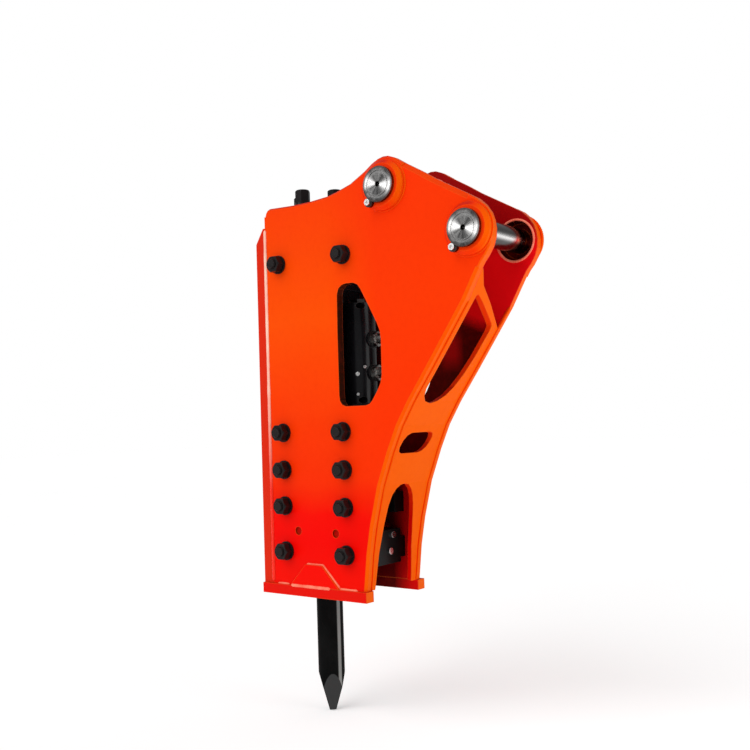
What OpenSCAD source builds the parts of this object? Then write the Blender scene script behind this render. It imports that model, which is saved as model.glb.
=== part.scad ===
// Side-type hydraulic breaker hammer: two-plate bracket, hammer body, tool and mounting pins.
// Origin: centre of the arm pin, midway between the side plates. +Z up along the tool, +X towards
// the rear web and the link pin, +Y towards the right-hand side plate. Millimetres.

/* [Bracket] */
// Distance over the outer faces of the two side plates
bracket_w = 264; // [240:2:320]
// Thickness of each side plate
plate_t = 25; // [16:1:30]
// Thickness of the front cover plate
front_t = 38; // [16:1:40]
// Thickness of the rear web
web_t = 14; // [10:1:28]
// Height of the foot bars under the side plates
foot_h = 30; // [20:1:50]

/* [Mounting pins] */
// Radius of the pins where the stick and link bushes run
pin_r = 35; // [25:0.5:40]
// Link pin position behind the arm pin
link_x = 273; // [200:1:320]
// Link pin position below the arm pin
link_drop = 162; // [100:1:220]
// Thickness of the round pads welded outside the ears
pad_t = 21; // [8:1:30]

/* [Hammer] */
// Distance from the arm pin forward to the tool axis
tool_offset = 361; // [340:1:370]
// Tool shank diameter
tool_d = 80; // [70:0.5:82]
// Length of the tool
tool_len = 732; // [680:1:760]
// How far the tool can be pushed up from its hanging position
tool_travel = 45; // [20:1:45]
// Rod pin diameter
rod_pin_d = 36; // [28:1:38]
// Piston land diameter
piston_d = 80; // [76:1:82]

/* [Fasteners] */
// Side stud diameter
stud_d = 30; // [24:1:33]
// Side nut width across flats
nut_af = 46; // [36:1:50]
// Width across flats of the through-bolt cap nuts
cap_af = 41; // [36:1:46]
// Through-bolt diameter
through_d = 24; // [20:1:25]

/* [Hidden] */
$fn = 96;
hw = bracket_w / 2;
pin_in = hw - plate_t;
tx = -tool_offset;
lz = -link_drop;
foot_top = -1130;
foot_bot = foot_top - foot_h;
face_y = hw + pad_t;
side_y = pin_in - 0.3;
tool_tip = -1522;
tool_top = tool_tip + tool_len;
tool_r = tool_d / 2;
rod_r = rod_pin_d / 2;
rod_x = tool_r - 8 + rod_r + 0.1;
rod_z = -970;
piston_r = piston_d / 2;
nose_r = 33;
rear_r = 35;
through_r = 70;

// outline of a side plate as [x, z], anticlockwise from the lower front corner
rear_edge = [[-110, -1130], [-107, -1110], [-97, -1026], [-81, -944], [-52, -835],
  [-14, -740], [20, -668], [62, -602], [128, -512], [187, -430], [247, -346], [294, -266]];
ear_edge = [[305, -249], [319, -233], [332, -213], [340, -190], [342, -166], [339, -145],
  [332, -125], [317, -103], [297, -84], [272, -69]];
top_edge = [[220, -39], [166, -8], [123, 20], [68, 53], [34, 75], [14, 83], [-4, 84.5],
  [-22, 81], [-45, 71], [-72, 54], [-125, 28], [-178, 14], [-213, 7], [-280, 3], [-348, 3],
  [-446, 8], [-456, 4], [-463, -4], [-466, -14]];
plate_pts = concat([[-466, foot_top]], rear_edge, ear_edge, top_edge);
n_rear = len(rear_edge);
n_ear = len(ear_edge);
n_plate = len(plate_pts);

window_pts = [[-186, -575], [-186, -400], [-184, -285], [-178, -268], [-166, -259],
  [-150, -256], [-123, -257], [-107, -264], [-97, -277], [-66, -333], [-40, -382],
  [-32, -402], [-29, -425], [-30, -525], [-35, -547], [-46, -567], [-66, -595],
  [-76, -604], [-90, -608], [-162, -608], [-176, -603], [-184, -592]];

// openings of the rear web as [y, z]
notch_pts = [[-140, -232], [-105, -264], [-68, -304], [107, -404], [140, -424], [140, 0], [-140, 0]];
web_window = [[-84, -346], [-82, -332], [-76, -327], [-68, -329], [56, -390], [66, -397], [70, -410],
  [68, -480], [60, -528], [47, -562], [28, -586], [0, -602], [-30, -608], [-58, -602],
  [-75, -588], [-84, -568]];
web_slot = [[-72, -746], [-84, -741], [-88, -729], [-82, -710], [-70, -696], [-52, -689],
  [36, -688], [50, -692], [54, -702], [50, -718], [40, -732], [24, -742], [6, -746]];
web_arch = [[-91, -1140], [-84, -1035], [-76, -950], [-71, -892], [-62, -864], [-48, -847],
  [-30, -837], [-12, -834], [8, -838], [24, -850], [37, -868], [48, -895], [58, -932],
  [66, -980], [74, -1045], [83, -1140]];

// side fasteners as [x, z]
stud_pos = [[-411, -170], [-157, -172], [-409, -679], [-175, -680], [-409, -790],
  [-175, -789], [-409, -897], [-175, -896], [-409, -1031], [-175, -1031]];
// through-bolts round the tool axis, as [x, y]
through_pos = [[through_r, 0], [0, through_r], [-through_r, 0], [0, -through_r]];

function unit(v) = v / norm(v);
function seg_normal(p, i) = let (d = unit(p[i + 1] - p[i])) [-d[1], d[0]];
function vert_normal(p, i) = i == 0 ? seg_normal(p, 0)
  : i == len(p) - 1 ? seg_normal(p, len(p) - 2)
  : let (m = unit(seg_normal(p, i - 1) + seg_normal(p, i)))
    m / (m * seg_normal(p, i));
function inset(p, t) = [for (i = [0:len(p) - 1]) p[i] + t * vert_normal(p, i)];
function flip(p) = [for (i = [len(p) - 1:-1:0]) p[i]];

// a profile given as [x, z], from y0 to y1
module slab(pts, y0, y1) {
  translate([0, y1, 0])
    rotate([90, 0, 0])
      linear_extrude(y1 - y0)
        polygon(pts);
}

// a profile given as [y, z], from x0 to x1
module punch(pts, x0, x1) {
  translate([x0, 0, 0])
    rotate([90, 0, 90])
      linear_extrude(x1 - x0)
        polygon(pts);
}

// a cylinder along Y
module ycyl(r, y0, y1, x = 0, z = 0) {
  translate([x, y1, z])
    rotate([90, 0, 0])
      cylinder(r = r, h = y1 - y0);
}

module ycone(ra, rb, y0, y1, x = 0, z = 0) {
  translate([x, y0, z])
    rotate([-90, 0, 0])
      cylinder(r1 = ra, r2 = rb, h = y1 - y0);
}

module yhex(af, y0, y1, x = 0, z = 0) {
  translate([x, y1, z])
    rotate([90, 0, 0])
      cylinder(r = af / sqrt(3), h = y1 - y0, $fn = 6);
}

// a 45 degree cut of leg c along the edge from a to b at the face y
module edge_cut(a, b, c, y) {
  v = b - a;
  l = norm(v);
  translate([a[0], y, a[1]])
    rotate([0, -atan2(v[1], v[0]), 0])
      translate([l / 2, 0, 0])
        rotate([45, 0, 0])
          cube([l + 0.4 * c, c * sqrt(2), c * sqrt(2)], center = true);
}

function edge_leg(i) = i < 1 ? 0 : i < n_rear ? 7 : i < n_rear + n_ear ? 3
  : i < n_rear + n_ear + 4 ? 12 : i < n_plate - 1 ? 5 : 0;

// near-side plate, with a wide recess through each ear in front of the pad
module side_plate() {
  y0 = -hw;
  difference() {
    slab(plate_pts, y0, y0 + plate_t);
    slab(window_pts, y0 - 1, y0 + plate_t + 1);
    for (i = [0:n_plate - 2])
      if (edge_leg(i) > 0)
        edge_cut(plate_pts[i], plate_pts[i + 1], edge_leg(i), y0);
    ycyl(57, y0 - 1, y0 + plate_t + 1, 0, 0);
    ycyl(57, y0 - 1, y0 + plate_t + 1, link_x, lz);
    for (p = stud_pos)
      ycyl(stud_d / 2 + 1.5, y0 - 1, y0 + plate_t + 1, p[0], p[1]);
    // access hole for the grease nipple, and the lower drain hole
    ycyl(12, y0 - 1, y0 + plate_t + 1, tx + 1, rod_z);
    ycyl(12, y0 - 1, y0 + plate_t + 1, -215, rod_z - 2);
  }
}

module side_plate_left() {
  color("OrangeRed")
    side_plate();
}

module side_plate_right() {
  color("OrangeRed")
    mirror([0, 1, 0])
      side_plate();
}

module front_plate() {
  color("OrangeRed")
    difference() {
      translate([-466 - front_t, -hw, foot_top])
        cube([front_t - 0.2, bracket_w, -50 - foot_top]);
      // bevelled top edge
      slab([[-530, -140], [-504, -96], [-474, -50], [-474, 10], [-530, 10]], -200, 200);
      // access hole to the front head
      translate([-520, 0, -560])
        rotate([0, 90, 0])
          cylinder(r = 45, h = 100);
    }
}

module rear_web() {
  color("DarkOrange")
    difference() {
      slab(concat(rear_edge, flip(inset(rear_edge, web_t))), -pin_in + 0.1, pin_in - 0.1);
      punch(notch_pts, -400, 500);
      punch(web_window, -400, 500);
      punch(web_slot, -400, 500);
      punch(web_arch, -400, 500);
    }
}

module foot_bars() {
  color("OrangeRed")
    for (s = [-1, 1])
      translate([-504, s < 0 ? -hw - 8 : pin_in, foot_bot])
        cube([401, plate_t + 8, foot_h - 0.1]);
}

// trapezoid gusset plates over the lower edge of each side plate
module foot_gussets() {
  g = [[-204, foot_top + 0.2], [-267, -1066], [-330, -1066], [-391, foot_top + 0.2]];
  color("OrangeRed")
    for (s = [-1, 1])
      slab(g, s < 0 ? -hw - 8 : hw + 0.1, s < 0 ? -hw - 0.1 : hw + 8);
}

module ear_pad(s, x, z) {
  a = s < 0 ? -face_y : hw + 0.1;
  b = s < 0 ? -hw - 0.1 : face_y;
  c = 10;
  difference() {
    if (s < 0) {
      union() {
        ycone(70 - c, 70, a, a + c, x, z);
        ycyl(70, a + c, b, x, z);
      }
    } else {
      union() {
        ycyl(70, a, b - c, x, z);
        ycone(70, 70 - c, b - c, b, x, z);
      }
    }
    ycyl(50, a - 1, b + 1, x, z);
    if (s < 0)
      ycyl(6.5, a - 1, b + 1, x - 33, z - 47);
  }
}

module ear_pads() {
  color("OrangeRed")
    for (s = [-1, 1]) {
      ear_pad(s, 0, 0);
      ear_pad(s, link_x, lz);
    }
}

// steel bush in each pad, behind the wide recess through the side plate
module ear_bush(s, x, z) {
  r = s < 0 ? pin_r + 0.56 : pin_r - 0.44;
  difference() {
    ycyl(49.95, s < 0 ? -face_y : hw + 0.1, s < 0 ? -hw - 0.1 : face_y, x, z);
    ycyl(r, -face_y - 1, face_y + 1, x, z);
  }
}

module arm_bushes() {
  color("OrangeRed")
    for (s = [-1, 1])
      ear_bush(s, 0, 0);
}

module link_bushes() {
  color("OrangeRed")
    for (s = [-1, 1])
      ear_bush(s, link_x, lz);
}

// headed pin: near journal, running length in the gap, slightly smaller tail
module ear_pin(x, z) {
  y0 = -face_y - 0.3;
  difference() {
    union() {
      ycyl(50, y0 - 10, y0, x, z);
      ycyl(13, y0 - 10, y0, x - 33, z - 47);
      ycyl(pin_r + 0.5, y0 - 0.01, -hw, x, z);
      ycyl(pin_r, -hw - 0.01, hw, x, z);
      ycyl(pin_r - 0.5, hw - 0.01, face_y + 4, x, z);
      ycone(pin_r - 0.5, pin_r - 4, face_y + 4 - 0.01, face_y + 8, x, z);
    }
    // turned recess and centre hole in the head
    difference() {
      ycyl(38, y0 - 11, y0 - 8, x, z);
      ycyl(33, y0 - 12, y0 - 7, x, z);
    }
    ycyl(7, y0 - 11, y0 + 14, x, z);
    ycyl(6.3, y0 - 11, y0 + 1, x - 33, z - 47);
    ycyl(9, face_y - 10, face_y + 10, x, z);
  }
}

module arm_pin() {
  color("Silver")
    ear_pin(0, 0);
}

module link_pin() {
  color("Silver")
    ear_pin(link_x, lz);
}

module pin_screw(x, z) {
  y0 = -face_y - 10.3;
  difference() {
    union() {
      ycyl(9, y0 - 8, y0 - 0.05, x - 33, z - 47);
      ycyl(6, y0 - 0.06, -hw - 2, x - 33, z - 47);
    }
    yhex(8, y0 - 9, y0 - 3, x - 33, z - 47);
  }
}

module arm_pin_screw() {
  color("LightGray")
    pin_screw(0, 0);
}

module link_pin_screw() {
  color("LightGray")
    pin_screw(link_x, lz);
}

module side_studs() {
  color("DimGray")
    for (s = [-1, 1], p = stud_pos) {
      ycyl(stud_d / 2 - 0.1, s < 0 ? -hw - 33 : 72, s < 0 ? -72 : hw + 33, p[0], p[1]);
      if (s < 0)
        ycone(stud_d / 2 - 3, stud_d / 2 - 0.1, -hw - 36, -hw - 33, p[0], p[1]);
      else
        ycone(stud_d / 2 - 0.1, stud_d / 2 - 3, hw + 33, hw + 36, p[0], p[1]);
    }
}

module side_washers() {
  color("Black")
    for (s = [-1, 1], p = stud_pos)
      difference() {
        ycyl(28, s < 0 ? -hw - 5 : hw + 0.1, s < 0 ? -hw - 0.1 : hw + 5, p[0], p[1]);
        ycyl(stud_d / 2 + 0.7, s < 0 ? -hw - 9 : hw - 4, s < 0 ? -hw + 4 : hw + 9, p[0], p[1]);
      }
}

module side_nuts() {
  color("Black")
    for (s = [-1, 1], p = stud_pos)
      difference() {
        intersection() {
          yhex(nut_af, s < 0 ? -hw - 30 : hw + 5.1, s < 0 ? -hw - 5.1 : hw + 30, p[0], p[1]);
          if (s < 0)
            ycone(nut_af / 2 - 0.5, nut_af / 2 + 24.5, -hw - 30, -hw - 5, p[0], p[1]);
          else
            ycone(nut_af / 2 + 24.5, nut_af / 2 - 0.5, hw + 5, hw + 30, p[0], p[1]);
        }
        ycyl(stud_d / 2, s < 0 ? -hw - 31 : hw + 4, s < 0 ? -hw - 4 : hw + 31, p[0], p[1]);
      }
}

// blind tapped holes for the side studs, for the rows between z0 and z1
module stud_holes(z0, z1) {
  for (s = [-1, 1], p = stud_pos)
    if (p[1] > z0 && p[1] < z1)
      ycyl(stud_d / 2 + 0.05, s < 0 ? -hw : 70, s < 0 ? -70 : hw, p[0], p[1]);
}

module through_holes(z0, z1, r) {
  for (p = through_pos)
    translate([tx + p[0], p[1], z0])
      cylinder(r = r, h = z1 - z0);
}

module taxis(z0, z1, r) {
  translate([tx, 0, z0])
    cylinder(r = r, h = z1 - z0);
}

module front_head() {
  color("DimGray")
    difference() {
      union() {
        translate([tx - 92, -84, -1148])
          cube([192, 168, 493]);
        // shoes at the mouth and at the flange, bearing on the side plates
        translate([tx - 92, -side_y, -1148])
          cube([192, 2 * side_y, 42]);
        translate([tx - 92, -side_y, -712])
          cube([192, 2 * side_y, 57]);
        // bolting pads, one under each side stud
        for (s = [-1, 1], z = [-685.2, -789.5, -896.5, -1031]) {
          translate([tx - 92, s < 0 ? -side_y : 80, z - 30])
            cube([76, side_y - 80, 60]);
          translate([tx + 99, s < 0 ? -side_y : 62, z - 30])
            cube([116, side_y - 62, 60]);
        }
        translate([tx + 99, -84, -1075])
          cube([116, 168, 100]);
      }
      taxis(-1149, -905, 55.05);
      taxis(-906, -840, 52.05);
      taxis(-841, -654, 45);
      // lead-in at the mouth
      translate([tx, 0, -1149])
        cylinder(r1 = 62, r2 = 55.05, h = 7);
      stud_holes(-1120, -655);
      through_holes(-770, -650, through_d / 2 + 0.1);
      for (s = [-1, 1])
        ycyl(rod_r + 0.05, -hw, hw, tx + s * rod_x, rod_z);
      ycyl(6.1, -hw, 62, tx - 56, -1085);
      // grease channel and its nipple seat
      ycyl(3, -hw, -40, tx + 1, rod_z);
      ycyl(5.05, -hw, -84 + 12, tx + 1, rod_z);
      for (p = [[45, -990], [30, -1037]])
        translate([tx + 200, p[0], p[1]])
          rotate([0, 90, 0])
            cylinder(r = 7.05, h = 20);
    }
}

module cylinder_body() {
  difference() {
    union() {
      taxis(-654.9, -250.1, 92);
      for (z = [-654.9, -290])
        translate([tx - 86, -86, z])
          cube([172, 172, 39.9]);
    }
    // flat for the valve housing
    translate([tx + 86, -100, -612])
      cube([40, 200, 320]);
    taxis(-656, -599, nose_r + 0.06);
    taxis(-640, -628, nose_r + 7);
    taxis(-600, -330, piston_r + 0.06);
    taxis(-331, -249, 48.05);
    through_holes(-660, -249, through_d / 2 + 0.1);
    // oil ways to the valve, beside the through-bolt
    for (y = [-24, 24], z = [-585, -470, -360])
      translate([tx + 30, y, z])
        rotate([0, 90, 0])
          cylinder(r = 7, h = 60);
    for (p = [[-34, -590], [34, -590], [-34, -310], [34, -310]])
      translate([tx + 58, p[0], p[1]])
        rotate([0, 90, 0])
          cylinder(r = 5.05, h = 40);
  }
}

module cylinder_node() {
  color("DimGray")
    cylinder_body();
}

module back_head() {
  color("DimGray")
    difference() {
      union() {
        translate([tx - 92, -88, -250])
          cube([192, 176, 258]);
        for (p = through_pos)
          translate([tx + p[0], p[1], 0])
            cylinder(r = 24, h = 18);
        for (s = [-1, 1]) {
          translate([tx - 92, s < 0 ? -side_y : 80, -215])
            cube([192, side_y - 80, 100]);
          translate([tx + 99, s < 0 ? -side_y : 64, -215])
            cube([136, side_y - 64, 88]);
        }
      }
      taxis(-251, -60, 44);
      taxis(-61, 25, 12.05);
      stud_holes(-250, 18);
      through_holes(-251, 25, through_d / 2 + 0.1);
      // threaded holes for lifting eyes on the sloping shoulders
      for (s = [-1, 1])
        translate([tx + 82, s * 70, -12])
          cylinder(r = 8, h = 30);
    }
}

module through_bolts() {
  color("Black")
    for (p = through_pos)
      translate([tx + p[0], p[1], 0]) {
        translate([0, 0, -765])
          cylinder(r = through_d / 2, h = 765 + 23);
        translate([0, 0, 22])
          intersection() {
            cylinder(r = cap_af / sqrt(3), h = 38, $fn = 6);
            cylinder(r1 = cap_af / 2 + 37, r2 = cap_af / 2 - 1, h = 38);
          }
      }
}

module through_washers() {
  color("Black")
    for (p = through_pos)
      translate([tx + p[0], p[1], 18.1])
        difference() {
          cylinder(r = 23.8, h = 3.8);
          translate([0, 0, -1])
            cylinder(r = through_d / 2 + 0.5, h = 6);
        }
}

// short cross way from an oil way into the spool bore
module cross_way(y, z) {
  translate([tx + 138, y < 0 ? -24 : 0, z])
    rotate([-90, 0, 0])
      cylinder(r = 6, h = 24);
}

module valve_housing() {
  color("DimGray")
    difference() {
      union() {
        translate([tx + 86.1, -46, -608])
          cube([64, 92, 312]);
        translate([tx + 150, 0, -600])
          cylinder(r = 50, h = 300);
        for (z = [-410, -510])
          translate([tx + 150, 0, z])
            rotate([0, 90, 0])
              cylinder(r = 26, h = 54);
      }
      translate([tx + 150, 0, -592])
        cylinder(r = 20.06, h = 262);
      translate([tx + 150, 0, -340])
        cylinder(r = 26.05, h = 50);
      for (z = [-410, -510])
        translate([tx + 150, 0, z])
          rotate([0, 90, 0])
            cylinder(r = 9, h = 60);
      for (z = [-410, -510])
        translate([tx + 182, 0, z])
          rotate([0, 90, 0])
            cylinder(r = 15.05, h = 30);
      for (y = [-24, 24], z = [-585, -470, -360])
        translate([tx + 80, y, z])
          rotate([0, 90, 0])
            cylinder(r = 7, h = 64);
      for (y = [-24, 24], z = [-585, -470, -360])
        cross_way(y, z);
      for (p = [[-34, -590], [34, -590], [-34, -310], [34, -310]])
        translate([tx + 80, p[0], p[1]])
          rotate([0, 90, 0]) {
            cylinder(r = 5.5, h = 130);
            translate([0, 0, 28])
              cylinder(r = 9.5, h = 100);
          }
    }
}

module valve_plug() {
  color("Gray")
    translate([tx + 150, 0, -340])
      union() {
        cylinder(r = 26, h = 40);
        translate([0, 0, 39.9])
          cylinder(r = 41 / sqrt(3), h = 14, $fn = 6);
      }
}

module valve_spool() {
  color("Silver")
    translate([tx + 150, 0, -591])
      difference() {
        cylinder(r = 20, h = 222);
        for (z = [55, 120, 180])
          translate([0, 0, z])
            difference() {
              cylinder(r = 21, h = 18);
              translate([0, 0, -1])
                cylinder(r = 14, h = 20);
            }
      }
}

module valve_screws() {
  color("Gray")
    for (p = [[-34, -590], [34, -590], [-34, -310], [34, -310]])
      translate([tx, p[0], p[1]])
        rotate([0, 90, 0])
          difference() {
            union() {
              translate([0, 0, 60])
                cylinder(r = 5, h = 49);
              translate([0, 0, 108.1])
                cylinder(r = 9, h = 10);
            }
            translate([0, 0, 113])
              cylinder(r = 8 / sqrt(3), h = 6, $fn = 6);
          }
}

module adaptor(z) {
  translate([tx, 0, z])
    rotate([0, 90, 0])
      difference() {
        union() {
          translate([0, 0, 184])
            cylinder(r = 15, h = 22);
          translate([0, 0, 206.1])
            cylinder(r = 41 / sqrt(3), h = 16, $fn = 6);
          translate([0, 0, 205])
            cylinder(r = 15, h = 2);
          translate([0, 0, 222])
            cylinder(r = 16.5, h = 26);
        }
        translate([0, 0, 183])
          cylinder(r = 9, h = 70);
      }
}

module inlet_adaptor() {
  color("Silver")
    adaptor(-410);
}

module outlet_adaptor() {
  color("Silver")
    adaptor(-510);
}

module port_seals() {
  color("Black")
    for (z = [-410, -510])
      translate([tx + 204.1, 0, z])
        rotate([0, 90, 0])
          difference() {
            cylinder(r = 22, h = 1.9);
            translate([0, 0, -1])
              cylinder(r = 15.4, h = 4);
          }
}

module upper_bush() {
  color("Goldenrod")
    difference() {
      taxis(-904.9, -840.1, 52);
      taxis(-906, -839, tool_r + 0.06);
    }
}

module lower_bush() {
  color("Goldenrod")
    difference() {
      taxis(-1148, -1026, 55);
      taxis(-1149, -1025, tool_r + 0.06);
      taxis(-1136, -1126, 46);
      ycyl(6.3, -70, 70, tx - 56, -1085);
    }
}

module dust_seal() {
  color("Black")
    difference() {
      taxis(-1135.9, -1126.1, 45.8);
      taxis(-1140, -1120, tool_r + 0.06);
    }
}

module bush_pin() {
  color("Silver")
    ycyl(6, -60, 60, tx - 56, -1085);
}

module rod_pins() {
  color("Silver")
    for (s = [-1, 1])
      ycyl(rod_r, -92, 92, tx + s * rod_x, rod_z);
}

module rod_pin_plugs() {
  color("Black")
    for (s = [-1, 1], t = [-1, 1])
      ycyl(rod_r - 0.1, t < 0 ? -side_y + 1 : 92.5, t < 0 ? -92.5 : side_y - 1, tx + s * rod_x, rod_z);
}

module tool() {
  color("Black")
    translate([tx, 0, 0])
      difference() {
        intersection() {
          translate([0, 0, tool_tip])
            cylinder(r = tool_r, h = tool_len);
          union() {
            // four flats, with their edges to the front, the rear and the two sides
            translate([0, 0, tool_tip])
              cylinder(r1 = 14, r2 = 80, h = 176, $fn = 4);
            translate([0, 0, tool_tip + 175.9])
              cylinder(r = 60, h = tool_len - 175.9 - 8);
            translate([0, 0, tool_top - 8.1])
              cylinder(r1 = tool_r, r2 = tool_r - 6, h = 8.1);
          }
        }
        for (s = [-1, 1])
          translate([s > 0 ? tool_r - 8 : -tool_r - 12, -60, rod_z - rod_r - tool_travel - 4])
            cube([20, 120, 2 * rod_r + tool_travel + 4.1]);
      }
}

module piston() {
  color("Silver")
    difference() {
      union() {
        taxis(-736, -560, nose_r);
        translate([tx, 0, -744])
          cylinder(r1 = nose_r - 5, r2 = nose_r, h = 8);
        taxis(-560.1, -430, piston_r);
        taxis(-430.1, -225, rear_r);
        translate([tx, 0, -225.1])
          cylinder(r1 = rear_r, r2 = rear_r - 4, h = 5);
      }
      for (z = [-548, -518, -488, -458])
        translate([tx, 0, z])
          difference() {
            cylinder(r = piston_r + 1, h = 5);
            translate([0, 0, -1])
              cylinder(r = piston_r - 2, h = 7);
          }
    }
}

module seal_retainer() {
  color("Gray")
    difference() {
      taxis(-329.9, -250.1, 48);
      taxis(-331, -249, rear_r + 0.06);
      for (z = [-312, -286, -266])
        taxis(z, z + 8, rear_r + 6);
    }
}

module gas_seals() {
  color("DarkSlateGray")
    for (z = [-312, -286, -266])
      difference() {
        taxis(z + 0.1, z + 7.9, rear_r + 5.9);
        taxis(z - 1, z + 9, rear_r + 0.05);
      }
}

module nose_seal() {
  color("DarkSlateGray")
    difference() {
      taxis(-639.9, -628.1, nose_r + 6.9);
      taxis(-641, -627, nose_r + 0.05);
    }
}

module gas_valve() {
  color("Silver")
    translate([tx, 0, 0])
      difference() {
        union() {
          translate([0, 0, -36])
            cylinder(r = 12, h = 45);
          translate([0, 0, 8.1])
            cylinder(r = 27 / sqrt(3), h = 12, $fn = 6);
          translate([0, 0, 20])
            cylinder(r = 9, h = 16);
        }
        translate([0, 0, -37])
          cylinder(r = 3, h = 62);
        translate([0, 0, 22])
          cylinder(r = 6, h = 15);
      }
}

module grease_nipple() {
  color("Gold")
    union() {
      ycyl(5, -84, -84 + 11, tx + 1, rod_z);
      yhex(11, -84 - 6, -84 - 0.1, tx + 1, rod_z);
      ycyl(3.5, -84 - 26, -84 + 1, tx + 1, rod_z);
      ycyl(4.5, -84 - 29, -84 - 25, tx + 1, rod_z);
    }
}

module channel_plugs() {
  color("LightGray")
    for (p = [[45, -990], [30, -1037]])
      translate([tx + 202, p[0], p[1]])
        rotate([0, 90, 0])
          union() {
            cylinder(r = 7, h = 13.5);
            translate([0, 0, 13.1])
              cylinder(r = 10, h = 6);
          }
}

side_plate_left();
side_plate_right();
front_plate();
rear_web();
foot_bars();
foot_gussets();
ear_pads();
arm_bushes();
link_bushes();
arm_pin();
link_pin();
arm_pin_screw();
link_pin_screw();
side_studs();
side_washers();
side_nuts();
front_head();
cylinder_node();  // cylinder
back_head();
through_bolts();
through_washers();
valve_housing();
valve_plug();
valve_spool();
valve_screws();
inlet_adaptor();
outlet_adaptor();
port_seals();
upper_bush();
lower_bush();
dust_seal();
bush_pin();
rod_pins();
rod_pin_plugs();
tool();
piston();
seal_retainer();
gas_seals();
nose_seal();
gas_valve();
grease_nipple();
channel_plugs();
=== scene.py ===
import math
import bpy
import bmesh
from mathutils import Matrix, Vector, noise


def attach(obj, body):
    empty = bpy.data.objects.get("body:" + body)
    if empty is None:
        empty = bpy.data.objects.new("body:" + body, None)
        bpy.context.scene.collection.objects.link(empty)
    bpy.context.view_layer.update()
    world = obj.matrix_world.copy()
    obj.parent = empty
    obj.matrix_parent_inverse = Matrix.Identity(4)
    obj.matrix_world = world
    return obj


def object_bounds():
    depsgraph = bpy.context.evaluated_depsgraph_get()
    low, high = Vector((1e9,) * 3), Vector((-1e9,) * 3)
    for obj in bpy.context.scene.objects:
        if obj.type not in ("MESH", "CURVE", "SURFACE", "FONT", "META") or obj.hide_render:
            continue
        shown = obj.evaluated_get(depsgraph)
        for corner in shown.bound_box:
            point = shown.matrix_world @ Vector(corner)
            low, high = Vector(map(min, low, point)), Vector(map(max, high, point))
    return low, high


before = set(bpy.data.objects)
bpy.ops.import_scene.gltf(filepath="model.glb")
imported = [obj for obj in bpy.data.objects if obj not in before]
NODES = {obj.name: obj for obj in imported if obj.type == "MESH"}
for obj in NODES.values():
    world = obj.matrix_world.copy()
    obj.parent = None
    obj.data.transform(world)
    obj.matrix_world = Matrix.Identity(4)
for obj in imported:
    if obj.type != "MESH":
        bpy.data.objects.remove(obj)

CAD_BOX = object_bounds()
BODY = "bracket_and_hammer"

# ---------------------------------------------------------------- places on the part, in metres

ARM_PIN = (0.0, 0.0)               # x and z of each mounting pin
LINK_PIN = (0.273, -0.162)
TOOL_X = -0.361                    # axis of the tool and the hammer body
PLATE_OUT = 0.132                  # |y| of a side plate's outer face
PLATE_IN = 0.107                   # |y| of a side plate's inner face
GUSSET_OUT = 0.1395                # |y| of the weld on a gusset's outer face
FRONT_X = -0.4662                  # seam between the front plate and the side plates
FOOT_TOP = -1.130                  # upper face of the foot bars
WINDOW_X = (-0.1865, -0.0285)      # limits of the inspection window
WINDOW_Z = (-0.6085, -0.2555)
EAR_WELL_R = 0.0575                # recess in the inner face of each ear
PAD_R = 0.071                      # round pad outside each ear
ACCESS_HOLES = ((-0.360, -0.970), (-0.215, -0.972))   # x and z in each side plate
ACCESS_HALF = 0.0125               # half-width of the paint mask round an access hole
CAP_R = 0.0118
CAP_DEPTH = 0.014                  # from the plate's outer face to the back of a cap
VALVE_AXIS = (-0.211, 0.0)         # x and y of the round of the valve housing
VALVE_R = 0.050

# rear edge of a side plate as (x, z), from the foot up
REAR_EDGE = [(-0.110, -1.130), (-0.107, -1.110), (-0.097, -1.026), (-0.081, -0.944), (-0.052, -0.835),
             (-0.014, -0.740), (0.020, -0.668), (0.062, -0.602), (0.128, -0.512), (0.187, -0.430),
             (0.247, -0.346)]
# trapezoid gusset as (x, z), from its front toe to its rear toe
GUSSET = [(-0.391, -1.128), (-0.330, -1.066), (-0.267, -1.066), (-0.204, -1.128)]
# foot weld runs as (x from, x to); the middle one lies on the gusset
FOOT_RUNS = [(-0.448, -0.402), (-0.388, -0.236), (-0.205, -0.140)]
GUSSET_RUN = 1
# small plugs on the valve housing as (bearing in degrees, z, radius)
VALVE_PLUGS = [(-61.0, -0.512, 0.0065), (-36.5, -0.492, 0.0050), (-61.0, -0.572, 0.0045),
               (61.0, -0.512, 0.0065)]

# ---------------------------------------------------------------- camera

CAM_POS = Vector((1.5964, -2.2398, -0.6554))
CAM_AZ = math.radians(38.05)
CAM_PITCH = math.radians(2.8)      # the camera looks up a little
CAM_ROLL = math.radians(-1.86)
CAM_LENS = 46.1


def make_camera():
    data = bpy.data.cameras.new("camera")
    cam = bpy.data.objects.new("camera", data)
    bpy.context.scene.collection.objects.link(cam)
    ahead = Vector((-math.sin(CAM_AZ), math.cos(CAM_AZ), 0))
    across = Vector((math.cos(CAM_AZ), math.sin(CAM_AZ), 0))
    vertical = Vector((0, 0, 1))
    forward = math.cos(CAM_PITCH) * ahead + math.sin(CAM_PITCH) * vertical
    level_up = math.cos(CAM_PITCH) * vertical - math.sin(CAM_PITCH) * ahead
    right = math.cos(CAM_ROLL) * across + math.sin(CAM_ROLL) * level_up
    up = math.cos(CAM_ROLL) * level_up - math.sin(CAM_ROLL) * across
    place = Matrix((right, up, -forward)).transposed().to_4x4()
    place.translation = CAM_POS
    cam.matrix_world = place
    data.lens = CAM_LENS
    data.sensor_width = 36
    data.clip_start = 0.01
    data.clip_end = 100
    bpy.context.scene.camera = cam


make_camera()

# ---------------------------------------------------------------- materials


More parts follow.
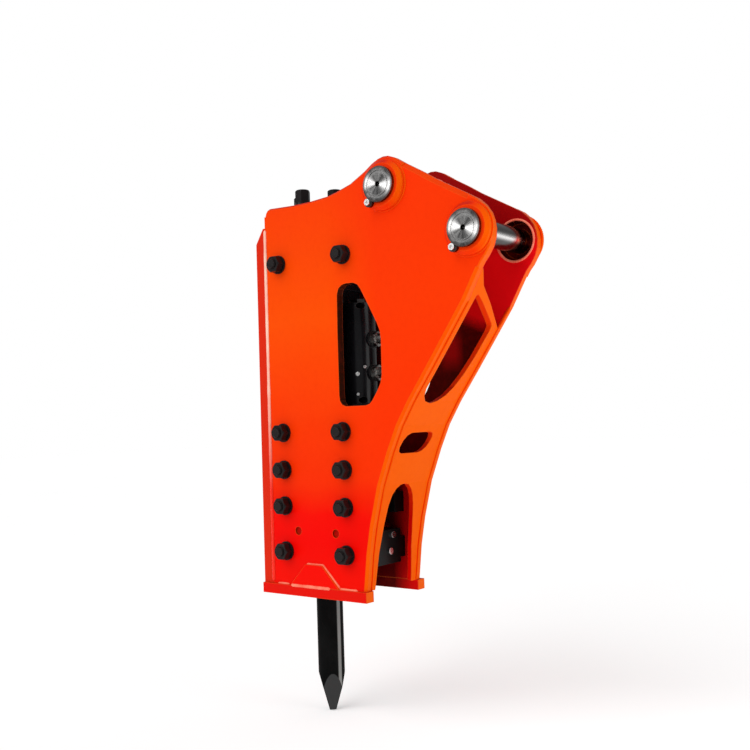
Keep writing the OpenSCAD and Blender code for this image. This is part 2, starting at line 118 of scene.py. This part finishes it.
class Nodes:
    """Short helper for building one procedural material, in the part's own coordinates."""

    def __init__(self, name, color, metallic=0.0, roughness=0.4, **sockets):
        self.mat = bpy.data.materials.new(name)
        self.mat.use_nodes = True
        self.tree = self.mat.node_tree
        self.shader = self.tree.nodes["Principled BSDF"]
        self.shader.inputs["Base Color"].default_value = (*color, 1)
        self.shader.inputs["Metallic"].default_value = metallic
        self.shader.inputs["Roughness"].default_value = roughness
        for key, value in sockets.items():
            self.shader.inputs[key.replace("_", " ")].default_value = value
        self.mat.diffuse_color = (*color, 1)
        place = self.node("ShaderNodeTexCoord")
        self.coord = place.outputs["Object"]
        self.local_normal = place.outputs["Normal"]
        self.x, self.y, self.z = self.split(self.coord)

    def link(self, a, b):
        self.tree.links.new(a, b)

    def node(self, kind, **props):
        made = self.tree.nodes.new(kind)
        for key, value in props.items():
            setattr(made, key, value)
        return made

    def split(self, vector):
        parts = self.node("ShaderNodeSeparateXYZ")
        self.link(vector, parts.inputs[0])
        return [parts.outputs[k] for k in "XYZ"]

    def noise(self, scale, detail=4.0, rough=0.55, stretch=(1, 1, 1)):
        mapping = self.node("ShaderNodeMapping")
        mapping.inputs["Scale"].default_value = stretch
        self.link(self.coord, mapping.inputs["Vector"])
        return self.noise_on(mapping.outputs["Vector"], scale, detail, rough)

    def noise_on(self, vector, scale, detail, rough=0.5):
        made = self.node("ShaderNodeTexNoise")
        made.inputs["Scale"].default_value = scale
        made.inputs["Detail"].default_value = detail
        made.inputs["Roughness"].default_value = rough
        self.link(vector, made.inputs["Vector"])
        return made.outputs["Fac"]

    def ramp(self, fac, stops):
        made = self.node("ShaderNodeValToRGB")
        elements = made.color_ramp.elements
        while len(elements) < len(stops):
            elements.new(0.5)
        for element, (position, color) in zip(elements, stops):
            element.position = position
            element.color = (*color, 1)
        self.link(fac, made.inputs["Fac"])
        return made.outputs["Color"]

    def span(self, fac, lo, hi, a=0.0, b=1.0):
        """fac from lo to hi becomes a to b, and stays there beyond."""
        made = self.node("ShaderNodeMapRange")
        for key, value in (("From Min", lo), ("From Max", hi), ("To Min", a), ("To Max", b)):
            made.inputs[key].default_value = value
        self.link(fac, made.inputs["Value"])
        return made.outputs["Result"]

    def mix(self, fac, a, b):
        made = self.node("ShaderNodeMix", data_type="RGBA")
        sockets = [s for s in made.inputs if s.type == "RGBA"]
        self.link(fac, made.inputs[0])
        for value, socket in ((a, sockets[0]), (b, sockets[1])):
            if isinstance(value, tuple):
                socket.default_value = (*value, 1)
            else:
                self.link(value, socket)
        return [s for s in made.outputs if s.type == "RGBA"][0]

    def math(self, op, a, b=0.0):
        made = self.node("ShaderNodeMath", operation=op)
        for i, value in enumerate((a, b)):
            if isinstance(value, (int, float)):
                made.inputs[i].default_value = value
            else:
                self.link(value, made.inputs[i])
        return made.outputs[0]

    def vector_math(self, op, a, b=None):
        """A vector operation, which gives a number for a length or a dot product."""
        made = self.node("ShaderNodeVectorMath", operation=op)
        self.link(a, made.inputs[0])
        if isinstance(b, tuple):
            made.inputs[1].default_value = b
        elif b is not None:
            self.link(b, made.inputs[1])
        return made.outputs["Value" if op in ("LENGTH", "DOT_PRODUCT") else "Vector"]

    def times(self, first, *others):
        out = first
        for other in others:
            out = self.math("MULTIPLY", out, other)
        return out

    def size_of(self, value):
        return self.math("ABSOLUTE", value)

    def within(self, value, lo, hi, soft):
        """1 where value is between lo and hi, fading over soft."""
        return self.times(self.span(value, lo - soft, lo), self.span(value, hi + soft, hi))

    def color(self, value):
        self.link(value, self.shader.inputs["Base Color"])

    def rough(self, value):
        self.link(value, self.shader.inputs["Roughness"])

    def bevel(self, radius):
        made = self.node("ShaderNodeBevel")
        made.samples = 4
        made.inputs["Radius"].default_value = radius
        return made.outputs["Normal"]

    def edge_mask(self, radius):
        """1 where the surface turns within the radius, 0 on flats."""
        true_normal = self.node("ShaderNodeNewGeometry").outputs["Normal"]
        return self.span(self.vector_math("DOT_PRODUCT", self.bevel(radius), true_normal), 1.0, 0.86)

    def bump(self, height, strength, distance, edge):
        """Relief on the surface, with its edges rounded to the radius edge."""
        made = self.node("ShaderNodeBump")
        made.inputs["Strength"].default_value = strength
        made.inputs["Distance"].default_value = distance
        self.link(height, made.inputs["Height"])
        self.link(self.bevel(edge), made.inputs["Normal"])
        self.link(made.outputs["Normal"], self.shader.inputs["Normal"])


def shade(color, factor):
    return tuple(v * factor for v in color)


def outer_coat_and_painted_light(m):
    """Painted light and shade in the plates' colour: orange above, redder towards the foot and towards the
    rear, lighter on what faces the rear, darker on what faces the front or up.
    """
    nx, _, nz = m.split(m.local_normal)
    patch = m.span(m.noise(2.2, 4.0, 0.6), 0.25, 0.75, -0.04, 0.04)
    height = m.span(m.math("ADD", m.z, patch), -1.20, 0.10)
    # painted light: the colour runs from orange high up to red at the foot
    coat = m.ramp(height, [(0.0, (0.88, 0.005, 0.001)), (0.16, (0.88, 0.001, 0.001)),
                           (0.22, (0.89, 0.003, 0.001)), (0.29, (0.90, 0.026, 0.001)),
                           (0.42, (0.91, 0.038, 0.001)), (0.66, (0.92, 0.074, 0.001)),
                           (0.90, (0.91, 0.050, 0.001)), (1.0, (0.90, 0.040, 0.001))])
    # painted shade: redder again towards the rear
    rear_painted_shade = m.mix(m.span(height, 0.2, 0.3), (0.86, 0.003, 0.001), (0.91, 0.032, 0.001))
    coat = m.mix(m.times(m.span(m.x, -0.22, -0.04), 0.85), coat, rear_painted_shade)
    # painted light: edges and the web face the rear, and are given a lighter colour there
    lit = m.span(nx, 0.25, 0.75)
    coat = m.mix(lit, coat, (0.92, 0.115, 0.001))
    # painted shade: faces turned to the front are darker
    ahead = m.span(nx, -0.4, -0.8)
    coat = m.mix(ahead, coat, (0.70, 0.016, 0.004))
    # painted shade: faces turned upwards are darker red, unless they also face the rear
    up = m.times(m.span(nz, 0.4, 0.65), m.span(nx, 0.30, 0.12))
    coat = m.mix(m.times(up, 0.9), coat, (0.62, 0.012, 0.002))
    # the front plate, and the foot bars where they do not face the rear, are a darker red
    coat = m.mix(m.span(m.x, FRONT_X + 0.0002, FRONT_X - 0.0002), coat, (0.68, 0.022, 0.006))
    foot = m.times(m.span(m.z, FOOT_TOP, FOOT_TOP - 0.0004), m.math("SUBTRACT", 1.0, lit))
    return m.mix(foot, coat, (0.74, 0.006, 0.003))


def inner_face_painted_shade(m):
    """Painted shade on the inner faces: dark high between the ears, full red below them, darker again low
    behind the web.
    """
    ears = m.span(m.math("ADD", m.z, m.times(m.x, 0.45)), -0.345, -0.30)
    coat = m.mix(m.span(m.z, -0.20, -0.12), (0.98, 0.004, 0.008), (0.34, 0.001, 0.003))
    coat = m.mix(ears, (0.085, 0.001, 0.002), coat)
    # a painted reflection: a brighter red patch on the inner face
    painted_reflection = m.times(m.within(m.x, 0.03, 0.06, 0.03), m.within(m.z, -0.47, -0.43, 0.05))
    coat = m.mix(m.times(painted_reflection, 0.7), coat, (0.60, 0.003, 0.006))
    low = m.times(m.span(m.z, -0.80, -0.86), m.span(m.x, -0.19, -0.125))
    return m.mix(low, coat, (0.80, 0.003, 0.004))


def recess_painted_shade(m, coat):
    """Painted shade in the ear recesses, on the window's cut faces and in the access holes."""
    aside = m.size_of(m.y)
    # painted shade in each ear recess
    for x, z in (ARM_PIN, LINK_PIN):
        square = m.math("ADD", m.math("POWER", m.math("SUBTRACT", m.x, x), 2.0),
                        m.math("POWER", m.math("SUBTRACT", m.z, z), 2.0))
        near = m.span(m.math("SQRT", square), EAR_WELL_R + 0.0001, EAR_WELL_R - 0.0003)
        within_plate = m.span(aside, PLATE_OUT + 0.0006, PLATE_OUT + 0.0002)
        coat = m.mix(m.times(near, within_plate), coat, (0.060, 0.002, 0.002))
    # painted shade on the window's cut faces
    window = m.times(m.within(aside, 0.108, 0.1312, 0.0004), m.within(m.x, *WINDOW_X, 0.001),
                     m.within(m.z, *WINDOW_Z, 0.001))
    coat = m.mix(window, coat, (0.030, 0.006, 0.002))
    # painted shade in each access hole
    for x, z in ACCESS_HOLES:
        hole = m.times(m.within(m.x, x - ACCESS_HALF, x + ACCESS_HALF, 0.001),
                       m.within(m.z, z - ACCESS_HALF, z + ACCESS_HALF, 0.001),
                       m.within(aside, 0.108, 0.1318, 0.0002))
        coat = m.mix(hole, coat, (0.42, 0.002, 0.001))
    return coat


def paint(name, inner_faces=True, gloss=0.08, wear=0.35):
    """Sprayed enamel over the plates, with scuffs and chips where their edges turn, and with painted light
    and shade in its colour.
    """
    rough, edge = 0.34, 0.0022
    m = Nodes(name, (0.93, 0.05, 0.001), 0.0, rough, Specular_IOR_Level=gloss,
              Specular_Tint=(1.0, 0.22, 0.03, 1))
    c = outer_coat_and_painted_light(m)
    if inner_faces:
        # painted shade on the inner faces, then in the recesses and holes
        c = m.mix(m.span(m.size_of(m.y), 0.1095, 0.1085), c, inner_face_painted_shade(m))
        c = recess_painted_shade(m, c)
    c = m.mix(m.times(m.span(m.noise(60.0, 3.0), 0.45, 0.8), 0.10), c, (0.70, 0.01, 0.001))
    edges = m.edge_mask(edge * 1.6)
    speck = m.span(m.noise(38.0, 8.0, 0.7), 0.60, 0.70)
    worn = m.times(edges, speck, wear)
    c = m.mix(m.times(edges, 0.45), c, (0.98, 0.16, 0.02))
    m.color(m.mix(worn, c, (0.38, 0.05, 0.02)))
    uneven = m.span(m.noise(9.0, 6.0, 0.65), 0.3, 0.75, rough - 0.07, rough + 0.1)
    m.rough(m.math("ADD", uneven, m.times(worn, 0.25)))
    m.bump(m.noise(420.0, 2.0, 0.5), 0.08, 0.0006, edge)
    return m.mat


def weld_paint_with_highlight(name, high, low, z_low=-1.2, z_high=-0.9, patch=0.5):
    """The same enamel where it runs thick over a ground bead, glossier, with a painted highlight in its
    colour: high above z_high, low below z_low, and plain red in patches.
    """
    m = Nodes(name, high, 0.0, 0.25, Specular_IOR_Level=0.35, Specular_Tint=(1.0, 0.6, 0.4, 1))
    c = m.mix(m.span(m.z, z_low, z_high), low, high)
    m.color(m.mix(m.times(m.span(m.noise(26.0, 5.0, 0.6), 0.42, 0.62), patch), c, (0.94, 0.03, 0.005)))
    m.rough(m.span(m.noise(40.0, 4.0), 0.3, 0.75, 0.18, 0.38))
    m.bump(m.noise(300.0, 3.0), 0.15, 0.0005, 0.001)
    return m.mat


def black_paint(name, base, rough, edge=0.0025, coat=0.12, rub=0.06):
    """Black enamel with dust on it and a dull rub on its edges."""
    m = Nodes(name, base, 0.0, rough, Coat_Weight=coat, Coat_Roughness=0.12, Specular_IOR_Level=0.12)
    c = m.mix(m.span(m.noise(7.0, 6.0, 0.65), 0.4, 0.75), base, tuple(v * 1.8 + 0.001 for v in base))
    dust = m.span(m.noise(24.0, 9.0, 0.72), 0.58, 0.8)
    c = m.mix(m.times(dust, 0.25), c, (0.035, 0.022, 0.018))
    m.color(m.mix(m.times(m.edge_mask(edge * 1.4), 0.5), c, (rub, rub * 0.8, rub * 0.8)))
    m.rough(m.span(m.noise(15.0, 5.0), 0.3, 0.75, rough - 0.08, rough + 0.15))
    m.bump(m.noise(260.0, 3.0), 0.14, 0.0006, edge)
    return m.mat


def satin_tool(name):
    """Dark heat-treated steel, with a painted highlight down one side and painted light on the point's flats
    that face the rear.
    """
    highlight_bearing = -0.155
    black = (0.004, 0.004, 0.004)
    m = Nodes(name, black, 0.0, 0.34, Specular_IOR_Level=0.01)
    nx, _, nz = m.split(m.local_normal)
    bearing = m.math("ARCTAN2", m.y, m.math("ADD", m.x, -TOOL_X))
    off = m.size_of(m.math("ADD", bearing, -highlight_bearing))
    flat = m.times(m.span(nz, -0.10, -0.15), m.span(m.z, -1.34, -1.36))
    # painted highlight: a bright stripe down one side, broken into streaks
    rub = m.times(m.span(off, 0.20, 0.10), m.math("SUBTRACT", 1.0, flat))
    highlight_streaks = m.span(m.noise(60.0, 6.0, 0.65, (1, 1, 0.05)), 0.25, 0.8, 0.6, 1.15)
    c = m.mix(m.span(m.noise(18.0, 7.0, 0.65), 0.4, 0.8), black, (0.008, 0.008, 0.008))
    c = m.mix(m.times(rub, highlight_streaks), c, (0.30, 0.30, 0.29))
    # painted light: the point's flats that face the rear are greyer
    c = m.mix(m.times(flat, m.span(nx, 0.4, 0.6), 0.7), c, (0.06, 0.06, 0.06))
    m.color(m.mix(m.times(m.edge_mask(0.003), 0.5), c, (0.05, 0.05, 0.05)))
    m.rough(m.span(m.noise(40.0, 5.0), 0.3, 0.8, 0.28, 0.44))
    m.bump(m.noise(220.0, 4.0), 0.12, 0.0004, 0.002)
    return m.mat


def steel_base(name, base, rough):
    m = Nodes(name, base, 1.0, rough)
    m.rough(m.span(m.noise(45.0, 5.0), 0.3, 0.8, max(0.05, rough - 0.06), rough + 0.12))
    return m


def steel(name, base, rough):
    """Plain bare metal."""
    m = steel_base(name, base, rough)
    m.color(m.mix(m.span(m.noise(22.0, 6.0, 0.65), 0.4, 0.8), base, shade(base, 0.62)))
    m.bump(m.noise(300.0, 4.0), 0.12, 0.0004, 0.0012)
    return m.mat


def pin_steel(name, axis):
    """Bare metal turned about the line along Y through axis, whose tool marks spread the lamps' light two
    ways, and with a fixed highlight and shade painted into its colour.
    """
    base = (0.80, 0.79, 0.78)
    m = steel_base(name, base, 0.20)
    from_axis = m.vector_math("SUBTRACT", m.coord, (axis[0], 0, axis[1]))
    from_axis = m.vector_math("MULTIPLY", from_axis, (1, 0, 1))
    radius = m.vector_math("LENGTH", from_axis)
    way = m.vector_math("NORMALIZE", from_axis)
    along = m.size_of(m.vector_math("DOT_PRODUCT", way, (0.966, 0, -0.259)))
    # the turned head: two painted highlight sectors over painted shade, a rim and a centre hole painted dark
    # as shade, and a ring
    head_painted_highlight = m.times(m.math("POWER", along, 14.0), 1.5)
    head_painted_highlight.node.use_clamp = True
    fan = m.noise_on(way, 2.4, 3.0)
    head_painted_shade = m.mix(m.span(fan, 0.35, 0.7), shade(base, 0.05), shade(base, 0.26))
    head_painted_shade = m.mix(m.within(radius, 0.031, 0.039, 0.002), head_painted_shade, shade(base, 0.22))
    head = m.mix(head_painted_highlight, head_painted_shade, base)
    head = m.mix(m.times(m.span(radius, 0.043, 0.047), 0.8), head, (0.05, 0.040, 0.038))
    head = m.mix(m.span(radius, 0.009, 0.007), head, (0.03, 0.025, 0.02))
    # the shank, with a painted highlight line along each side and painted shade between
    shank_painted_light = m.mix(m.math("POWER", along, 45.0), shade(base, 0.10), shade(base, 1.2))
    m.color(m.mix(m.within(m.y, -0.150, 0.150, 0.004), head, shank_painted_light))
    m.shader.inputs["Anisotropic"].default_value = 0.75
    round_axis = m.vector_math("CROSS_PRODUCT", from_axis, (0, 1, 0))
    m.link(m.vector_math("NORMALIZE", round_axis), m.shader.inputs["Tangent"])
    rings = m.math("SINE", m.times(radius, 5200.0))
    m.bump(m.math("ADD", rings, m.times(m.noise(200.0, 3.0), 0.7)), 0.10, 0.0002, 0.0012)
    return m.mat


def threaded(name, base, rough, pitch):
    """Oiled stud: the thread runs round the Y axis, so the ridges are rings in Y."""
    m = Nodes(name, base, 0.9, rough)
    wave = m.math("SINE", m.times(m.y, 2 * math.pi / pitch))
    # painted shade: the colour is darker down in the thread's grooves
    m.color(m.mix(m.span(wave, -1, 1), shade(base, 0.4), base))
    m.rough(m.span(m.noise(80.0, 3.0), 0.3, 0.7, rough - 0.05, rough + 0.15))
    m.bump(wave, 0.8, 0.001, 0.001)
    return m.mat


def rubber(name, base):
    m = Nodes(name, base, 0.0, 0.7)
    m.color(m.mix(m.span(m.noise(30.0, 6.0), 0.4, 0.8), base, tuple(v * 2.5 + 0.01 for v in base)))
    m.rough(m.span(m.noise(60.0, 4.0), 0.3, 0.8, 0.55, 0.85))
    m.bump(m.noise(500.0, 3.0), 0.25, 0.0005, 0.001)
    return m.mat


def brass(name, base, rough):
    m = Nodes(name, base, 1.0, rough)
    m.color(m.mix(m.span(m.noise(40.0, 5.0), 0.4, 0.8), base, shade(base, 0.55)))
    m.rough(m.span(m.noise(70.0, 4.0), 0.3, 0.8, rough - 0.05, rough + 0.15))
    m.bump(m.noise(350.0, 3.0), 0.12, 0.0004, 0.0008)
    return m.mat


ORANGE = paint("paint_orange")
ORANGE_WEB = paint("paint_orange_web", inner_faces=False, gloss=0.02)
ORANGE_FRONT = paint("paint_orange_front", inner_faces=False, wear=0.5)
# the light pinkish colours of the beads and the front seam are painted highlights
BEAD_HIGHLIGHT = weld_paint_with_highlight("paint_weld_highlight", (1.0, 0.26, 0.16), (1.0, 0.26, 0.16), patch=0.45)
SEAM_HIGHLIGHT = weld_paint_with_highlight("paint_seam_highlight", (1.0, 0.62, 0.48), (0.93, 0.02, 0.01), -0.85, -0.50, 0.2)
BLACK = black_paint("paint_black", (0.004, 0.004, 0.005), 0.24)
BLACK_HEAD = black_paint("paint_black_head", (0.003, 0.003, 0.003), 0.34, coat=0.03, rub=0.02)
BOLT = black_paint("bolt_black", (0.007, 0.005, 0.005), 0.32, 0.0014, 0.06, 0.03)
TOOL = satin_tool("tool_steel")
ARM_PIN_STEEL = pin_steel("arm_pin_steel", ARM_PIN)
LINK_PIN_STEEL = pin_steel("link_pin_steel", LINK_PIN)
BRIGHT = steel("bright_steel", (0.74, 0.74, 0.73), 0.24)
ZINC = steel("zinc_steel", (0.42, 0.42, 0.40), 0.26)
STUD = threaded("stud_steel", (0.03, 0.027, 0.027), 0.34, 0.0035)
RUBBER = rubber("black_rubber", (0.012, 0.012, 0.012))
BRASS = brass("nipple_brass", (0.78, 0.57, 0.25), 0.28)
BRONZE = brass("bush_bronze", (0.56, 0.36, 0.16), 0.34)

LOOK = {
    ORANGE: ["side_plate_left", "side_plate_right", "foot_bars", "foot_gussets", "ear_pads",
             "arm_bushes", "link_bushes"],
    ORANGE_WEB: ["rear_web"],
    ORANGE_FRONT: ["front_plate"],
    BLACK_HEAD: ["front_head"],
    BLACK: ["cylinder", "back_head", "valve_housing", "valve_plug", "valve_screws"],
    BOLT: ["side_washers", "side_nuts", "through_bolts", "through_washers"],
    TOOL: ["tool"],
    ARM_PIN_STEEL: ["arm_pin"],
    LINK_PIN_STEEL: ["link_pin"],
    BRIGHT: ["arm_pin_screw", "link_pin_screw", "rod_pins", "bush_pin", "valve_spool", "piston",
             "seal_retainer", "channel_plugs", "gas_valve"],
    ZINC: ["inlet_adaptor", "outlet_adaptor"],
    STUD: ["side_studs"],
    RUBBER: ["dust_seal", "gas_seals", "nose_seal", "port_seals", "rod_pin_plugs"],
    BRASS: ["grease_nipple"],
    BRONZE: ["upper_bush", "lower_bush"],
}
for mat, names in LOOK.items():
    for name in names:
        slots = NODES[name].data.materials
        if len(slots) == 0:
            slots.append(mat)
        for i in range(len(slots)):
            slots[i] = mat

# ---------------------------------------------------------------- pieces of the builder's own


def close_rings(bm, rings, closed=False):
    """Skin rings of vertices into a tube, capped at both ends unless it is closed on itself."""
    pairs = list(zip(rings, rings[1:]))
    if closed:
        pairs.append((rings[-1], rings[0]))
    for a, b in pairs:
        for i in range(len(a)):
            j = (i + 1) % len(a)
            bm.faces.new((a[i], a[j], b[j], b[i]))
    if not closed:
        bm.faces.new(rings[0][::-1])
        bm.faces.new(rings[-1])


def add_piece(name, bm, mat, smooth=False):
    """Turn bm into an object that rides the bracket."""
    bmesh.ops.recalc_face_normals(bm, faces=bm.faces)
    mesh = bpy.data.meshes.new(name)
    bm.to_mesh(mesh)
    bm.free()
    for face in mesh.polygons:
        face.use_smooth = smooth
    mesh.materials.append(mat)
    o = bpy.data.objects.new(name, mesh)
    bpy.context.scene.collection.objects.link(o)
    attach(o, BODY)


def resample(pts, step):
    out = [Vector(pts[0])]
    for a, b in zip(pts, pts[1:]):
        a, b = Vector(a), Vector(b)
        n = max(1, round((b - a).length / step))
        out += [a.lerp(b, (i + 1) / n) for i in range(n)]
    return out


def bead(name, pts, radius, seed, closed=False, mat=ORANGE, flat=0.75, ripple=0.10):
    """A weld bead: a rippled tube along pts, half sunk in the plates it joins."""
    pitch, sides, jitter, taper = 0.006, 8, 0.16, 5
    path = resample(pts, pitch / 4)
    if closed:
        path = path[:-1]
    last = len(path) - 1
    bm = bmesh.new()
    rings = []
    run = 0.0
    for i, p in enumerate(path):
        if closed:
            tangent = (path[(i + 1) % len(path)] - path[i - 1]).normalized()
        else:
            tangent = (path[min(i + 1, last)] - path[max(i - 1, 0)]).normalized()
        side = tangent.cross(Vector((0, 1, 0)))
        if side.length < 0.2:
            side = tangent.cross(Vector((1, 0, 0)))
        side.normalize()
        up = side.cross(tangent).normalized()
        if i:
            run += (p - path[i - 1]).length
        r = radius * (1 + ripple * math.cos(2 * math.pi * run / pitch)
                      + jitter * noise.noise(Vector((run * 30, seed, 0.5))))
        if not closed:
            r *= min(1.0, 0.35 + min(i, last - i) / taper)
        turns = (2 * math.pi * (k + 0.5) / sides for k in range(sides))
        rings.append([bm.verts.new(p + side * math.cos(a) * r + up * math.sin(a) * r * flat)
                      for a in turns])
    close_rings(bm, rings, closed)
    add_piece(name, bm, mat, smooth=True)


def circle(centre, y, r, n=72):
    x, z = centre
    turns = (2 * math.pi * i / n for i in range(n + 1))
    return [(x + r * math.cos(a), y, z + r * math.sin(a)) for a in turns]


def lathe(name, foot, out, profile, mat, steps=32):
    """A closed piece turned about out; profile is (radius, height over foot), from the foot to the middle."""
    up = Vector((0, 0, 1))
    across = up.cross(out)
    bm = bmesh.new()
    rings = []
    for r, h in profile:
        turns = (2 * math.pi * i / steps for i in range(steps))
        rings.append([bm.verts.new(foot + out * h + (across * math.cos(a) + up * math.sin(a)) * r)
                      for a in turns])
    close_rings(bm, rings)
    add_piece(name, bm, mat)


def valve_plug(name, bearing, z, radius, height=0.0045, edge=0.0008):
    """A socket-headed plug on the round of the valve housing; bearing is taken about the housing's axis."""
    out = Vector((math.cos(bearing), math.sin(bearing), 0))
    foot = Vector((*VALVE_AXIS, z)) + out * VALVE_R
    bore = 0.42 * radius
    lathe(name, foot, out, [(radius, -0.0012), (radius, height - edge), (radius - edge, height),
                            (bore + 0.0006, height), (bore, height - 0.0006), (bore, 0.0012)],
          BRIGHT)


# ---------------------------------------------------------------- weld seams

for s, side in ((-1, "left"), (1, "right")):
    y = s * PLATE_OUT
    # front plate to side plate, down the outer face
    bead(f"weld_front_{side}", [(FRONT_X, y, -0.056), (FRONT_X, y, FOOT_TOP + 0.004)], 0.0062, s + 0.1,
         mat=SEAM_HIGHLIGHT, ripple=0.02, flat=0.5)
    # side plate to the foot bar, in runs along its upper edge
    for i, (x0, x1) in enumerate(FOOT_RUNS):
        out = s * GUSSET_OUT if i == GUSSET_RUN else y
        bead(f"weld_foot_{side}_{i}", [(x0, out, FOOT_TOP), (x1, out, FOOT_TOP)], 0.0050, s + i * 0.7,
             mat=BEAD_HIGHLIGHT)
    # rims of the recesses in the ears
    rim_r = EAR_WELL_R + 0.001
    bead(f"weld_arm_rim_{side}", circle(ARM_PIN, s * PLATE_IN, rim_r), 0.0035, s + 8.1,
         closed=True, mat=BEAD_HIGHLIGHT)
    bead(f"weld_link_rim_{side}", circle(LINK_PIN, s * PLATE_IN, rim_r), 0.0035, s + 9.1,
         closed=True, mat=BEAD_HIGHLIGHT)
    # side plate to the rear web
    bead(f"weld_web_{side}", [(x, s * PLATE_IN, z) for x, z in REAR_EDGE], 0.0050, s + 3.3, mat=ORANGE_WEB)
    # pads to the side plate
    bead(f"weld_arm_pad_{side}", circle(ARM_PIN, y, PAD_R), 0.0040, s + 5.1, closed=True)
    bead(f"weld_link_pad_{side}", circle(LINK_PIN, y, PAD_R), 0.0040, s + 6.1, closed=True)
    # gusset to the side plate, the front toe in plain paint
    gusset = [(x, y, z) for x, z in GUSSET]
    bead(f"weld_gusset_{side}", gusset[1:], 0.0042, s + 7.7, mat=BEAD_HIGHLIGHT)
    bead(f"weld_gusset_toe_{side}", gusset[:2], 0.0034, s + 7.9)

# ---------------------------------------------------------------- small plugs and caps

for i, (bearing, z, r) in enumerate(VALVE_PLUGS):
    valve_plug(f"valve_plug_small_{i}", math.radians(bearing), z, r)

# painted caps, set back in the two access holes of each side plate
for s, side in ((-1, "left"), (1, "right")):
    for i, (x, z) in enumerate(ACCESS_HOLES):
        lathe(f"access_cap_{side}_{i}", Vector((x, s * (PLATE_OUT - CAP_DEPTH), z)), Vector((0, s, 0)),
              [(CAP_R, 0), (CAP_R, 0.0078), (CAP_R - 0.0012, 0.009)], ORANGE)

# ---------------------------------------------------------------- floor and light

FLOOR_Z = CAD_BOX[0].z - 0.002
FLOOR_HALF = 30
LIGHT_TARGET = Vector((-0.05, 0.0, -0.55))


def make_floor():
    """A pale floor with a slight glow, so that it meets the white surround without a line."""
    m = Nodes("floor_pale", (0.95, 0.95, 0.95), 0.0, 0.9, Specular_IOR_Level=0.0,
              Emission_Color=(1, 1, 1, 1), Emission_Strength=0.33)
    m.color(m.mix(m.span(m.noise(1.5, 3.0), 0.3, 0.8), (0.96, 0.96, 0.96), (0.94, 0.94, 0.94)))
    mesh = bpy.data.meshes.new("floor")
    corners = [(-1, -1), (1, -1), (1, 1), (-1, 1)]
    mesh.from_pydata([(x * FLOOR_HALF, y * FLOOR_HALF, FLOOR_Z) for x, y in corners], [], [(0, 1, 2, 3)])
    mesh.materials.append(m.mat)
    o = bpy.data.objects.new("floor", mesh)
    bpy.context.scene.collection.objects.link(o)


def add_light(name, kind, energy, shine, pos=(0, 0, 0)):
    """A light that shines along the vector shine."""
    data = bpy.data.lights.new(name, kind)
    data.energy = energy
    light = bpy.data.objects.new(name, data)
    light.location = pos
    light.rotation_mode = "QUATERNION"
    light.rotation_quaternion = shine.to_track_quat("-Z", "Y")
    bpy.context.scene.collection.objects.link(light)
    return data


def make_lights():
    key = add_light("key", "SUN", 1.6, -Vector((-0.22, -0.76, 0.60)))
    key.angle = math.radians(60)
    side_pos = Vector((3.0, 0.2, -0.9))
    side = add_light("side", "AREA", 28, LIGHT_TARGET - side_pos, side_pos)
    side.shape = "RECTANGLE"
    side.size, side.size_y = 1.8, 2.4


def make_world(seen, given):
    """A white surround: plain white to look at, dimmer as a light."""
    world = bpy.data.worlds.new("world")
    bpy.context.scene.world = world
    world.use_nodes = True
    tree = world.node_tree
    background = tree.nodes["Background"]
    background.inputs["Color"].default_value = (1, 1, 1, 1)
    path = tree.nodes.new("ShaderNodeLightPath")
    strength = tree.nodes.new("ShaderNodeMapRange")
    strength.inputs["To Min"].default_value = given
    strength.inputs["To Max"].default_value = seen
    tree.links.new(path.outputs["Is Camera Ray"], strength.inputs["Value"])
    tree.links.new(strength.outputs["Result"], background.inputs["Strength"])


make_floor()
make_lights()
make_world(1.0, 0.40)

bpy.context.scene.view_settings.view_transform = "Standard"
bpy.context.scene.view_settings.look = "None"
